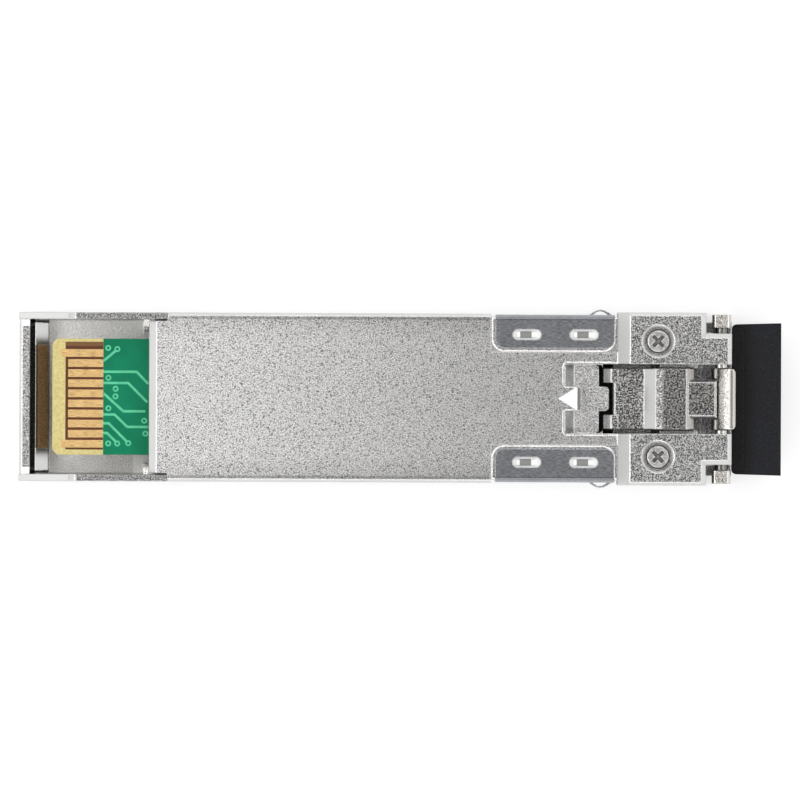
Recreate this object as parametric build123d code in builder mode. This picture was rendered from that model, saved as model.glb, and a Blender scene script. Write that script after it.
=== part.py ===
from build123d import *
from math import cos, pi, sin
import os

os.makedirs("parts", exist_ok=True)

# A pluggable fibre-optic transceiver with its dust plug fitted, in millimetres.
# X runs from the electrical end to the optical end and Z from the label face to the latch
# face. The origin is below the middle of the whole, on the surface that it lies on.
# Sizes that start with "back_" are distances back from the optical end.

# Overall sizes
body_length = 56.5
body_width = 13.4
body_height = 8.5
nose_length = 9.05
nose_overhang = 0.15
latch_step = 1.0
label_step = 1.0
plug_reach = 3.94

# Walls and parting of the two cast halves
floor_wall = 0.9
roof_wall = 0.85
side_wall = 0.8
skirt_wall = 0.55
parting_rise = 4.4
lip_height = 0.5
lip_width = 0.3
edge_bevel = 0.23
corner_round = 0.4
fit = 0.05
clearance = 0.1
lip_end_gap = 0.2
margin = 1.0

# Rear opening with its rails, sill and posts
opening_length = 10.32
opening_bevel = 0.6
end_wall = 0.8
rail_length = 11.72
rail_drop = 0.1
skirt_length = 3.85
skirt_drop = 0.65
sill_length = 2.32
sill_gap = 2.0
sill_rim = 0.2
sill_slope = 0.45
groove_start = 0.83
groove_width = 0.42
groove_depth = 0.8
moat_width = 0.25
post_length = 0.95
post_width = 0.85

# Circuit board and its copper
board_depth = 2.25
board_thickness = 1.0
board_inset = 2.64
board_gap = 5.41
board_side_gap = 0.4
tongue_step = 0.9
tongue_length = 8.6
tongue_bevel = 0.6
tongue_bevel_height = 0.3
board_seat = 0.4
board_fit = 0.02
rib_length = 0.5
rib_shares = (0.45, 0.7, 0.95)
pad_count = 10
pad_margin = 1.0
pad_gap = 0.2
pad_row_shift = -0.14
pad_start = 1.26
pad_early = 0.67
pad_end = 4.04
copper = 0.03
trace_width = 0.2
ring_radius = 0.24
ring_hole = 0.11
ring_sides = 12

# Spring collar round the body behind the nose
collar_sheet = 0.15
collar_recess = 0.2
collar_bend = 0.25
collar_length = 9.46
collar_front_gap = 0.22
collar_rear_gap = 0.33
flap_width = 2.53
flap_gap = 0.29
flap_round = 0.75
slot_length = 2.24
slot_width = 0.79
slot_spacing = 4.52
slot_side = 1.44
slot_first = 2.5
nub_length = 1.7
nub_width = 0.5
nub_height = 0.1
nub_ramp = 0.4
finger_width = 1.5
finger_gap = 0.1
finger_pitch = 2.3
finger_root = 5.1
bump_length = 1.85
bump_height = 0.45
bump_steps = 6
side_fingers = 3
label_fingers = 4

# Latch channel, locking boss and ramps
channel_to_screw = 1.83
channel_depth = 1.5
recess_depth = 0.8
recess_side_gap = 0.04
recess_round = 0.3
back_recess = 13.33
back_ramp = 13.21
ramp_lip = 0.08
back_channel = 10.52
back_channel_middle = 9.72
peninsula_half = 0.97
back_peninsula = 11.88
back_boss_tip = 13.73
back_boss_wall = 12.22
boss_side_gap = 0.02
boss_height = 0.45
back_ledge = 5.7
ledge_length = 3.0
flange_height = 0.55

# Slider
slider_gap = 0.33
back_slider = 9.4
back_keel = 8.1
back_slope = 7.35
slope_length = 1.95
slope_easing = 0.05
slope_foot = 0.4
slope_crest = 0.6
slope_crest_drop = 0.1
back_slider_front = 3
slider_bevel = 0.6
slider_low_drop = 0.3
slider_high_drop = 0.3
slider_rear_bevel = 0.15
back_tongue_tip = 1.17
tongue_tip_step = 0.92
tongue_tip_height = 0.7
tongue_tip_bevel = 0.18
back_ear_tip = 10.2
ear_lap = 0.4
ear_inner_gap = 0.31
ear_outer_gap = 0.28
ear_drop = 0.1
slider_flange_length = 3.4

# Slider return spring
spring_radius = 0.48
spring_wire = 0.14
spring_turns = 3
spring_length = 2.2
spring_post = 0.4
spring_pocket_width = 1.5
spring_clearance = 0.1
spring_lift = 0.15

# Bail: pivot, crank, arms and crossbar
pivot_inset = 0.8
pivot_drop = 1.8
shaft_radius = 0.5
shaft_fit = 0.05
cam_radius = 0.9
cam_gap = 0.05
cam_nose = 0.2
hub_radius = 0.6
cheek_radius = 0.85
cheek_width = 0.84
crank_gap = 0.31
crank_corner = 0.4
arm_width = 0.5
arm_length = 1.2
arm_inset = 0.15
hub_block = 1.5
hub_block_round = 0.35
hub_block_width = 1.05
crossbar_height = 0.85
crossbar_lift = 0.15
crossbar_round = 0.25
bail_swing = pi / 2

# Nose notches and edges
notch_length = 2.04
notch_gap = 0.1
pocket_gap = 0.45
pocket_web = 0.2
notch_bevel = 0.36
nose_front_bevel = 0.3
nose_edge_bevel = 0.25
crossbar_recess = 1.55

# Nose screws
screw_inset = 5.83
screw_side = 2.27
head_radius = 0.97
head_height = 0.6
head_drop = 0.25
counterbore_radius = 1.12
counterbore_rim = 0.18
shank_radius = 0.7
screw_length = 2.2
screw_fit = 0.03
screw_hole_fit = 0.15
head_bevel = 0.15
screw_web = 0.6
screw_boss_radius = 1.4
cross_length = 1.2
cross_width = 0.3
cross_depth = 0.35

# Receptacle insert and optics
insert_lift = 1.2
insert_gap = 0.35
insert_length = 7.6
insert_recess = 0.2
insert_sill = 0.35
insert_wall = 0.2
port_wall = 0.325
port_web = 1.65
port_height = 4.55
port_depth = 5.9
keyway_step = 1.0
keyway_height = 1.05
barrel_gap = 0.8
barrel_reach = 2.1
ferrule_radius = 0.63
ferrule_depth = 3.4
flange_step = 0.15
flange_thickness = 0.6
gasket_thickness = 0.45
can_gap = 0.05
can_length = 4.4
header_lip = 0.1
header_length = 0.8
front_block_length = 14.0
cradle_inset = 2.6
cradle_thickness = 0.7
flex_thickness = 0.12
flex_margin = 0.5
flex_overlap = 2.2
flex_bend = 1.0
flex_drop = 3.6

# Chips and passives on the board
chip_height = 0.9
chip_bevel = 0.12
driver_size = 4.0
driver_share = 0.62
driver_y = 2.2
amplifier_size = 3.0
amplifier_share = 0.82
amplifier_y = -2.75
controller_size = 5.0
controller_share = 0.4
controller_y = -1.1
capacitor_length = 1.0
capacitor_width = 0.5
capacitor_shares = (0.5, 0.72)
capacitor_y = 2.75
inductor_length = 2.0
inductor_width = 1.2
inductor_share = 0.5

# Dust plug
plug_gap = 0.06
plug_near_gap = 0.26
plug_far_gap = 0.15
plug_lift = 3.2
plug_height = 4.0
plug_corner = 0.35
plug_collar_length = 0.9
plug_collar_rise = 0.35
prong_clearance = 0.1
prong_length = 5.4
prong_corner = 0.2
prong_bore_fit = 0.15
prong_bore_depth = 2.0

# Stations along X and levels along Z that several pieces share
rear = -(body_length + plug_reach) / 2
front = rear + body_length
shoulder = front - nose_length
opening_end = rear + opening_length
rail_end = rear + rail_length
front_block = front - front_block_length
label_face = label_step
latch_face = label_face + body_height
nose_face = latch_face + latch_step
above = nose_face + margin
floor_top = label_face + floor_wall
roof_under = latch_face - roof_wall
parting = label_face + parting_rise
rail_top = latch_face - rail_drop
channel_floor = latch_face - channel_depth
recess_floor = latch_face - recess_depth
pivot_x = front - pivot_inset
pivot_z = nose_face - pivot_drop
crank_floor = pivot_z - cheek_radius - clearance
head_seat = nose_face - head_drop - head_height

# Half widths, from the outside inwards
half_width = body_width / 2
nose_half = half_width + nose_overhang
inner_half = half_width - side_wall
skirt_inner = half_width - skirt_wall
arm_outer = nose_half - arm_inset
arm_inner = arm_outer - arm_width
hub_inner = arm_outer - hub_block_width
notch_inner = arm_inner - notch_gap
pocket_inner = hub_inner - pocket_gap
insert_half = notch_inner - insert_gap
screw_y = nose_half - screw_side
channel_half = screw_y - channel_to_screw
recess_half = channel_half - recess_side_gap
slider_half = channel_half - slider_gap
crank_half = channel_half - crank_gap
boss_half = peninsula_half - boss_side_gap

# Fibre ports, and the optics behind them
port_width = insert_half - port_wall - port_web / 2
port_pitch = port_width + port_web
barrel_radius = port_width / 2 - barrel_gap
can_radius = port_width / 2 - can_gap
header_radius = can_radius + header_lip
flange_radius = can_radius - flange_step
optic_z = insert_lift + insert_sill + keyway_height + port_height / 2
optic_places = [(port_pitch / 2, optic_z), (-port_pitch / 2, optic_z)]
insert_top = optic_z + port_height / 2 + insert_wall
cavity_top = insert_top + fit
insert_front = front - insert_recess
insert_rear = insert_front - insert_length
port_rear = insert_front - port_depth
flange_rear = insert_rear - gasket_thickness - flange_thickness
can_rear = flange_rear - can_length
header_rear = can_rear - header_length
screw_x = front - screw_inset
screw_places = [(screw_x, screw_y), (screw_x, -screw_y)]

# Circuit board between the two halves
board_top = latch_face - board_depth
board_bottom = board_top - board_thickness
board_rear = rear + board_inset
board_front = header_rear - board_gap
board_length = board_front - board_rear
board_half = inner_half - board_side_gap
board_width = 2 * board_half
tongue_width = board_width - 2 * tongue_step
rib_inner = board_half - board_seat
rib_stations = [board_rear + share * board_length for share in rib_shares]
sill_top = board_bottom - sill_gap


def slab(xs, ys, zs, mode=Mode.ADD):
    """A square-edged block between two X, two Y and two Z values."""
    middle = ((xs[0] + xs[1]) / 2, (ys[0] + ys[1]) / 2, (zs[0] + zs[1]) / 2)
    with Locations(middle):
        Box(xs[1] - xs[0], ys[1] - ys[0], zs[1] - zs[0], mode=mode)


def pair(xs, ys, zs, mode=Mode.ADD):
    """The same block on both sides of the middle plane."""
    slab(xs, ys, zs, mode)
    slab(xs, (-ys[1], -ys[0]), zs, mode)


def side_profile(*points):
    """A closed straight-edged outline in the XZ plane."""
    with BuildSketch(Plane.XZ, mode=Mode.PRIVATE) as outline:
        with BuildLine():
            Polyline(*points, close=True)
        make_face()
    return outline.sketch


def across(profile, half, mode=Mode.ADD):
    """Carry a side profile across the middle plane to the same distance on both sides."""
    extrude(profile, amount=half, both=True, mode=mode)


def walls(profile, near, far, mode=Mode.ADD):
    """Carry a side profile from one distance to another on both sides."""
    for start in (far, -near):
        extrude(profile.moved(Location((0, start, 0))), amount=far - near, mode=mode)


def spread(count, pitch):
    """Evenly pitched places either side of zero."""
    return [(place - (count - 1) / 2) * pitch for place in range(count)]


def on_board(share, y):
    """A place on the board, from a share of its length and a distance from its middle line."""
    return (board_rear + share * board_length, y)


def save(piece, name):
    """Label a finished piece and write its file."""
    piece.part.label = name
    export_step(piece.part, f"parts/{name}.step")


# Spring collar: a sheet wrapped round the body, and the pocket that both halves have for it
collar_rear = shoulder - collar_front_gap - collar_length
pocket_rear = collar_rear - collar_rear_gap
wrap_half = half_width - collar_recess
wrap_low = label_face + collar_recess
wrap_high = latch_face - collar_recess
flap_start = wrap_half - flap_width
slot_centre = wrap_half - slot_side
wrap_height = wrap_high - wrap_low
wrap_middle = (wrap_low + wrap_high) / 2
window_rear = collar_rear + finger_root
window_front = collar_rear + collar_length - finger_gap
window_middle = (window_rear + window_front) / 2
window_length = window_front - window_rear
window_width = finger_width + 2 * finger_gap
side_levels = [wrap_middle + offset for offset in spread(side_fingers, finger_pitch)]
label_rows = spread(label_fingers, finger_pitch)
slot_places = [
    (collar_rear + slot_first + place * slot_spacing, side * slot_centre)
    for place in range(2)
    for side in (1, -1)
]

with BuildPart() as collar_pocket:
    with BuildSketch(Plane.YZ.offset(pocket_rear)):
        with Locations((0, wrap_middle)):
            Rectangle(body_width + 2 * margin, body_height + 2 * margin)
            RectangleRounded(2 * wrap_half, wrap_height, collar_bend, mode=Mode.SUBTRACT)
        with Locations((0, latch_face)):
            Rectangle(2 * (flap_start - flap_gap), 4 * margin, mode=Mode.SUBTRACT)
    extrude(amount=shoulder - pocket_rear)

# One spring finger seen from its side: a flat root, then a bump that meets the cage
finger_rear = window_rear - finger_gap
bump_front = window_front - finger_gap
bump_rear = bump_front - bump_length


def bump_line(inset, lift):
    """Points over the bump, moved in from its ends and up from the sheet's underside."""
    shares = [step / bump_steps for step in range(bump_steps + 1)]
    reach = bump_length - 2 * inset
    return [(bump_rear + inset + reach * share, lift + bump_height * sin(pi * share)) for share in shares]


over = bump_line(0, collar_sheet)
under = bump_line(collar_sheet, 0)
root = [(finger_rear, 0), (finger_rear, collar_sheet)]
with BuildPart() as finger:
    across(side_profile(*root, *over, *reversed(under)), finger_width / 2)

with BuildPart() as emi_collar:
    with BuildSketch(Plane.YZ.offset(collar_rear)):
        with Locations((0, wrap_middle)):
            RectangleRounded(
                2 * (wrap_half + collar_sheet), wrap_height + 2 * collar_sheet, collar_bend + collar_sheet
            )
            RectangleRounded(2 * wrap_half, wrap_height, collar_bend, mode=Mode.SUBTRACT)
        with Locations((0, latch_face)):
            Rectangle(2 * flap_start, 2 * margin, mode=Mode.SUBTRACT)
    extrude(amount=collar_length)
    flap_corners = emi_collar.edges().filter_by(Axis.Z).filter_by(
        lambda edge: abs(abs(edge.center().Y) - flap_start) < fit
    )
    fillet(flap_corners, flap_round)
    with BuildSketch(Plane.XY.offset(wrap_high)):
        with Locations(*slot_places):
            SlotOverall(slot_length, slot_width)
    extrude(amount=2 * collar_sheet, mode=Mode.SUBTRACT)
    with BuildSketch(Plane.XZ):
        with Locations(*[(window_middle, level) for level in side_levels]):
            Rectangle(window_length, window_width)
    extrude(amount=half_width + margin, both=True, mode=Mode.SUBTRACT)
    with BuildSketch(Plane.XY.offset(wrap_low)):
        with Locations(*[(window_middle, row) for row in label_rows]):
            Rectangle(window_length, window_width)
    extrude(amount=-2 * collar_sheet, mode=Mode.SUBTRACT)
    for level in side_levels:
        left = Location((0, wrap_half, level), (-90, 0, 0))
        right = Location((0, -wrap_half, level), (90, 0, 0))
        with Locations(left, right):
            add(finger.part)
    for row in label_rows:
        with Locations(Location((0, row, wrap_low), (180, 0, 0))):
            add(finger.part)
save(emi_collar, "emi_collar")

# Cover: the cast half on the label side, a trough with a rear sill and the lower nose
with BuildPart() as cover:
    with BuildSketch(Plane.YZ.offset(rear)) as trough:
        with Locations((0, label_face)):
            Rectangle(body_width, parting - label_face, align=(Align.CENTER, Align.MIN))
        fillet(trough.vertices().group_by(Axis.Y)[0], corner_round)
    extrude(amount=shoulder - rear)
    slab((rear, rail_end), (-skirt_inner, skirt_inner), (floor_top, above), Mode.SUBTRACT)
    slab((rail_end, shoulder), (-inner_half, inner_half), (floor_top, above), Mode.SUBTRACT)
    # Lower nose, with a recess across its front for the bail's crossbar
    nose_side = side_profile(
        (shoulder, parting),
        (shoulder, label_face),
        (shoulder + label_step, 0),
        (front - crossbar_recess, 0),
        (front - crossbar_recess, insert_lift),
        (front, insert_lift),
        (front, parting),
    )
    across(nose_side, nose_half)
    slab((shoulder, insert_rear), (-inner_half, inner_half), (floor_top, above), Mode.SUBTRACT)
    insert_reach = insert_half + fit
    insert_bay = (insert_rear - fit, front)
    slab(insert_bay, (-insert_reach, insert_reach), (insert_lift - fit, above), Mode.SUBTRACT)
    pair((front - notch_length, front), (notch_inner, nose_half), (0, above), Mode.SUBTRACT)
    # Side rails that flank the board, low at the rear and ramped up near the latch face
    rail_side = side_profile(
        (rear, parting),
        (rear, rail_top - skirt_drop),
        (rear + skirt_length, rail_top - skirt_drop),
        (rear + skirt_length + skirt_drop, rail_top),
        (rail_end, rail_top),
        (rail_end, parting),
    )
    walls(rail_side, skirt_inner, half_width)
    # Rear sill: a rimmed bar, a groove, and a ridge that slopes down to the floor
    groove_end = groove_start + groove_width
    sill_side = side_profile(
        (rear, floor_top),
        (rear, sill_top - sill_rim),
        (rear + sill_rim, sill_top),
        (rear + groove_start, sill_top),
        (rear + groove_start, sill_top - groove_depth),
        (rear + groove_end, sill_top - groove_depth),
        (rear + groove_end, sill_top),
        (rear + sill_length, sill_top - sill_slope),
        (rear + sill_length, floor_top),
    )
    across(sill_side, skirt_inner)
    moat_x = (rear + groove_start, rear + sill_length)
    moat_y = (skirt_inner - moat_width, skirt_inner)
    pair(moat_x, moat_y, (sill_top - groove_depth, sill_top), Mode.SUBTRACT)
    # Posts where the board widens, and ribs along the walls, carry the board from below
    post_rear = opening_end - post_length / 2
    post_y = (skirt_inner - post_width, skirt_inner)
    pair((post_rear, post_rear + post_length), post_y, (floor_top, board_bottom))
    rib_y = (rib_inner, inner_half)
    for rib_rear in rib_stations:
        pair((rib_rear, rib_rear + rib_length), rib_y, (floor_top, board_bottom))
    # Lip that laps inside the other half
    lip = (inner_half, inner_half + lip_width)
    pair((rail_end + lip_end_gap, front_block - fit), lip, (parting, parting + lip_height))
    # Cradle for the two optical cans
    with BuildSketch(Plane.YZ.offset(front_block + cradle_inset)):
        with Locations((0, floor_top)):
            Rectangle(2 * inner_half, optic_z - floor_top, align=(Align.CENTER, Align.MIN))
        with Locations(*optic_places):
            Circle(can_radius + fit, mode=Mode.SUBTRACT)
    extrude(amount=cradle_thickness)
    add(collar_pocket.part, mode=Mode.SUBTRACT)
save(cover, "cover")

# Locking boss: a triangle in plan that ramps up to a square wall
boss_tip = front - back_boss_tip
boss_wall = front - back_boss_wall
with BuildPart() as boss:
    boss_side = side_profile(
        (boss_tip, latch_face),
        (boss_wall, latch_face + boss_height),
        (boss_wall, latch_face),
    )
    across(boss_side, boss_half)
    with BuildSketch(Plane.XY.offset(latch_face)):
        with BuildLine():
            Polyline((boss_tip, 0), (boss_wall, boss_half), (boss_wall, -boss_half), close=True)
        make_face()
    extrude(amount=boss_height, mode=Mode.INTERSECT)

# Base housing: the cast half on the latch side
recess_rear = front - back_recess
channel_rear = front - back_channel
well_rear = front - notch_length - notch_bevel
ledge_rear = front - back_ledge
ledge_low = channel_floor + fit + flange_height + fit
spring_rear = front - back_slider_front - slider_bevel + spring_clearance - spring_length
spring_z = channel_floor + spring_radius + spring_wire / 2 + spring_lift
with BuildPart() as base_housing:
    with BuildSketch(Plane.YZ.offset(rail_end + fit)) as roof:
        with Locations((0, parting)):
            Rectangle(body_width, latch_face - parting, align=(Align.CENTER, Align.MIN))
        chamfer(roof.vertices().group_by(Axis.Y)[-1], edge_bevel)
    extrude(amount=shoulder - rail_end - fit)
    nose_side = side_profile(
        (shoulder, parting),
        (shoulder, latch_face),
        (shoulder + latch_step, nose_face),
        (front - nose_front_bevel, nose_face),
        (front, nose_face - nose_front_bevel),
        (front, parting),
    )
    across(nose_side, nose_half)
    chamfer(base_housing.edges().filter_by(Axis.X).group_by(Axis.Z)[-1], nose_edge_bevel)
    # Hollow under the roof, the lower hollow round the optics, and the step for the lip
    slab((rail_end, front_block), (-inner_half, inner_half), (parting, roof_under), Mode.SUBTRACT)
    slab((front_block, insert_rear), (-inner_half, inner_half), (parting, cavity_top), Mode.SUBTRACT)
    slab(insert_bay, (-insert_reach, insert_reach), (parting, cavity_top), Mode.SUBTRACT)
    lip_step = (inner_half, inner_half + lip_width + fit)
    pair((rail_end, front_block), lip_step, (parting, parting + lip_height + fit), Mode.SUBTRACT)
    # Bevelled end that reaches back between the cover's rails, down to the board
    end_side = side_profile(
        (opening_end, board_top + board_fit),
        (opening_end, latch_face - opening_bevel),
        (opening_end + opening_bevel, latch_face),
        (rail_end + end_wall, latch_face),
        (rail_end + end_wall, roof_under),
        (opening_end + end_wall, roof_under),
        (opening_end + end_wall, board_top + board_fit),
    )
    across(end_side, skirt_inner - clearance)
    for rib_rear in rib_stations:
        pair((rib_rear, rib_rear + rib_length), rib_y, (board_top + board_fit, roof_under))
    # Forked recess with ramps, the deep channel behind it, and the crank's well
    fork_length = back_recess - back_channel + recess_round
    with BuildSketch(Plane.XY.offset(recess_floor)):
        with Locations((recess_rear, 0)):
            RectangleRounded(fork_length, 2 * recess_half, recess_round, align=(Align.MIN, Align.CENTER))
            peninsula_length = back_recess - back_peninsula
            RectangleRounded(2 * peninsula_length, 2 * peninsula_half, recess_round, mode=Mode.SUBTRACT)
    extrude(amount=recess_depth, mode=Mode.SUBTRACT)
    ramp_side = side_profile(
        (recess_rear, recess_floor),
        (recess_rear, latch_face - ramp_lip),
        (front - back_ramp, latch_face - ramp_lip),
        (front - back_ramp + recess_depth - ramp_lip, recess_floor),
    )
    walls(ramp_side, peninsula_half, recess_half - fit)
    channel_y = (-channel_half, channel_half)
    slab((channel_rear + recess_round, front), channel_y, (recess_floor, above), Mode.SUBTRACT)
    with BuildSketch(Plane.XY.offset(channel_floor)):
        with Locations((channel_rear, 0)):
            Rectangle(front - channel_rear, 2 * channel_half, align=(Align.MIN, Align.CENTER))
            middle_length = back_channel - back_channel_middle
            RectangleRounded(2 * middle_length, 2 * peninsula_half, recess_round, mode=Mode.SUBTRACT)
    extrude(amount=recess_floor - channel_floor, mode=Mode.SUBTRACT)
    slab((well_rear, front), channel_y, (crank_floor, above), Mode.SUBTRACT)
    ledge_y = (slider_half + fit, channel_half)
    pair((ledge_rear, ledge_rear + ledge_length), ledge_y, (ledge_low, latch_face))
    slab(
        (spring_rear - spring_post, spring_rear),
        (-spring_radius, spring_radius),
        (channel_floor, spring_z + spring_radius - fit),
    )
    # Bearing slots for the bail's shaft, open below, and notches for its arms and hub blocks
    with BuildSketch(Plane.XZ, mode=Mode.PRIVATE) as bearing:
        with Locations((pivot_x, pivot_z)):
            Circle(shaft_radius + shaft_fit)
            drop = pivot_z - cavity_top
            Rectangle(2 * (shaft_radius + shaft_fit), drop, align=(Align.CENTER, Align.MAX))
    walls(bearing.sketch, channel_half, pocket_inner, Mode.SUBTRACT)
    pair((front - notch_length, front), (notch_inner, nose_half), (parting, above), Mode.SUBTRACT)
    pocket_floor = cavity_top + pocket_web
    pair((front - notch_length, front), (pocket_inner, notch_inner), (pocket_floor, above), Mode.SUBTRACT)
    notch_rear = front - notch_length - fit
    notch_edges = base_housing.edges().group_by(Axis.Z)[-1].filter_by(
        lambda edge: edge.center().X > notch_rear and abs(edge.center().Y) > pocket_inner - fit
    )
    chamfer(notch_edges, notch_bevel)
    # Screw seats, each with a pocket below for the insert's boss
    with Locations(*[(x, y, nose_face) for x, y in screw_places]):
        hole_radius = shank_radius + screw_hole_fit
        CounterBoreHole(hole_radius, counterbore_radius, nose_face - head_seat, nose_face - parting)
    with BuildSketch(Plane.XY.offset(nose_face)):
        with Locations(*screw_places):
            Circle(counterbore_radius + counterbore_rim)
    extrude(amount=-counterbore_rim, taper=45, mode=Mode.SUBTRACT)
    with BuildSketch(Plane.XY.offset(parting)):
        with Locations(*screw_places):
            Circle(screw_boss_radius + fit)
    extrude(amount=head_seat - screw_web - parting, mode=Mode.SUBTRACT)
    # Pocket for the collar, with the nubs that stand in its slots
    add(collar_pocket.part, mode=Mode.SUBTRACT)
    for x, y in slot_places:
        nub_side = side_profile(
            (x - nub_length / 2, wrap_high),
            (x - nub_length / 2, wrap_high + nub_height),
            (x + nub_length / 2 - nub_ramp, wrap_high + nub_height),
            (x + nub_length / 2, wrap_high),
        )
        extrude(nub_side.moved(Location((0, y, 0))), amount=nub_width / 2, both=True)
    add(boss.part)
save(base_housing, "base_housing")

# Nose screws: a low round head with a cross recess turned 45 degrees
for screw_name, (x, y) in zip(("nose_screw_left", "nose_screw_right"), screw_places):
    with BuildPart() as screw:
        with BuildSketch(Plane.XY.offset(head_seat - screw_length)):
            with Locations((x, y)):
                Circle(shank_radius)
        extrude(amount=screw_length)
        with BuildSketch(Plane.XY.offset(head_seat)):
            with Locations((x, y)):
                Circle(head_radius)
        extrude(amount=head_height)
        chamfer(screw.edges().group_by(Axis.Z)[-1], head_bevel)
        with BuildSketch(Plane.XY.offset(head_seat + head_height)):
            with Locations((x, y)):
                Rectangle(cross_length, cross_width, rotation=45)
                Rectangle(cross_length, cross_width, rotation=-45)
        extrude(amount=-cross_depth, taper=15, mode=Mode.SUBTRACT)
    save(screw, screw_name)

# Slider: a stepped body with two wedge ears, a front tongue and guide flanges
slider_rear = front - back_slider
slider_front = front - back_slider_front
slope_rear = front - back_slope
slope_front = slope_rear + slope_length
ear_floor = recess_floor + fit
ear_top = latch_face - ear_drop
slider_low = latch_face - slider_low_drop
slider_high = nose_face - slider_high_drop
slider_under = channel_floor + fit
tongue_under = pivot_z + hub_radius + fit
tongue_tip = front - back_tongue_tip
with BuildPart() as latch_slider:
    body_side = side_profile(
        (slider_rear, ear_floor),
        (slider_rear, slider_low - slider_rear_bevel),
        (slider_rear + slider_rear_bevel, slider_low),
        (slope_rear, slider_low),
        (slope_rear + slope_foot, slider_low + slope_easing),
        (slope_front - slope_crest, slider_high - slope_crest_drop),
        (slope_front, slider_high),
        (slider_front - slider_bevel, slider_high),
        (slider_front, slider_high - slider_bevel),
        (slider_front, slider_under),
        (front - back_keel, slider_under),
        (front - back_keel, ear_floor),
    )
    across(body_side, slider_half)
    tip = (tongue_tip, tongue_under, tongue_under + tongue_tip_height)
    tip_half = slider_half - tongue_tip_step
    slab((slider_front - slider_bevel, tip[0]), (-tip_half, tip_half), tip[1:])
    tip_edges = latch_slider.edges().filter_by(Plane.XY).filter_by(
        lambda edge: abs(edge.center().Z - tip[2]) < fit / 5 and edge.center().X > slider_front
    )
    chamfer(tip_edges, tongue_tip_bevel)
    ear_rise = ear_top - ear_floor
    ear_rear = front - back_ear_tip
    ear_side = side_profile(
        (ear_rear, ear_floor),
        (ear_rear + ear_rise, ear_top),
        (slider_rear + ear_lap, ear_top),
        (slider_rear + ear_lap, ear_floor),
    )
    walls(ear_side, peninsula_half + ear_inner_gap, channel_half - ear_outer_gap)
    flange_front = slider_front - fit
    flange = (slider_half - fit, channel_half - fit)
    flange_top = slider_under + flange_height - fit
    pair((flange_front - slider_flange_length, flange_front), flange, (slider_under, flange_top))
    # Pocket underneath for the return spring and its post
    slab(
        (spring_rear - spring_post - spring_clearance, spring_rear + spring_length),
        (-spring_pocket_width / 2, spring_pocket_width / 2),
        (slider_under, spring_z + spring_radius + spring_wire / 2 + fit),
        Mode.SUBTRACT,
    )
save(latch_slider, "latch_slider")

# Return spring: a small coil that lies along the slider's pocket
with BuildPart() as slider_spring:
    coil_length = spring_length - spring_wire
    coil_pitch = coil_length / spring_turns
    coil_start = (spring_rear + spring_wire / 2, 0, spring_z)
    with BuildLine() as coil:
        Helix(coil_pitch, coil_length, spring_radius, center=coil_start, direction=(1, 0, 0))
    with BuildSketch(Plane(origin=coil.line @ 0, z_dir=coil.line % 0)):
        RegularPolygon(spring_wire / 2, 4)
    sweep(path=coil.line, is_frenet=True)
save(slider_spring, "slider_spring")


# Bail: one casting with the crank's cam and cheeks, shaft, hub blocks, arms and crossbar
def cam_point(roll):
    """Where the cam's face meets the slider once the bail has turned by roll, seen at rest."""
    reach = pivot_x - tongue_tip - cam_gap + cam_radius * roll
    return (
        pivot_x - reach * cos(roll) + cam_radius * sin(roll),
        pivot_z + reach * sin(roll) + cam_radius * cos(roll),
    )


cam_steps = 6
cam_face = [cam_point(bail_swing * step / cam_steps) for step in range(cam_steps + 1)]
cam_tip = cam_face[-1]
crank_front = cam_tip[0] + cam_nose
with BuildPart() as bail:
    with BuildSketch(Plane.XZ) as cam_side:
        with BuildLine():
            Spline(*cam_face)
            Polyline(
                cam_tip,
                (crank_front, cam_tip[1] - cam_nose),
                (crank_front, pivot_z),
                (pivot_x - hub_radius / 2, pivot_z),
                (pivot_x - hub_radius / 2, pivot_z + hub_radius / 2),
                cam_face[0],
            )
        make_face()
        with Locations((pivot_x, pivot_z)):
            Circle(hub_radius)
    extrude(amount=crank_half - fit, both=True)
    with BuildSketch(Plane.XZ, mode=Mode.PRIVATE) as shaft_side:
        with Locations((pivot_x, pivot_z)):
            Circle(shaft_radius)
    with BuildSketch(Plane.XZ, mode=Mode.PRIVATE) as cheek_side:
        with Locations((pivot_x, pivot_z)):
            Circle(cheek_radius)
    with BuildSketch(Plane.XZ, mode=Mode.PRIVATE) as hub_side:
        with Locations((pivot_x, pivot_z)):
            RectangleRounded(hub_block, hub_block, hub_block_round)
    with BuildSketch(Plane.XZ, mode=Mode.PRIVATE) as arm_side:
        with Locations((pivot_x, crossbar_lift)):
            arm_rise = pivot_z - crossbar_lift
            Rectangle(arm_length, arm_rise, align=(Align.CENTER, Align.MIN))
    walls(cheek_side.sketch, crank_half - cheek_width, crank_half)
    # The crank's outer corners are rounded in plan
    with BuildSketch(Plane.XY.offset(nose_face)):
        with Locations((crank_front - crank_half, 0)):
            Rectangle(4 * crank_half, 4 * crank_half)
            RectangleRounded(2 * crank_half, 2 * crank_half, crank_corner, mode=Mode.SUBTRACT)
    extrude(amount=-2 * pivot_drop, mode=Mode.SUBTRACT)
    walls(shaft_side.sketch, crank_half - fit, hub_inner + fit)
    walls(hub_side.sketch, hub_inner, arm_outer)
    walls(arm_side.sketch, arm_inner, arm_outer)
    with BuildSketch(Plane.XZ):
        with Locations((pivot_x, crossbar_lift)):
            Rectangle(arm_length, crossbar_height, align=(Align.CENTER, Align.MIN))
    extrude(amount=arm_outer, both=True)
    long_edges = bail.edges().filter_by(Axis.Y).group_by(Axis.Z)[0]
    fillet(long_edges, crossbar_round)
save(bail, "bail")

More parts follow.
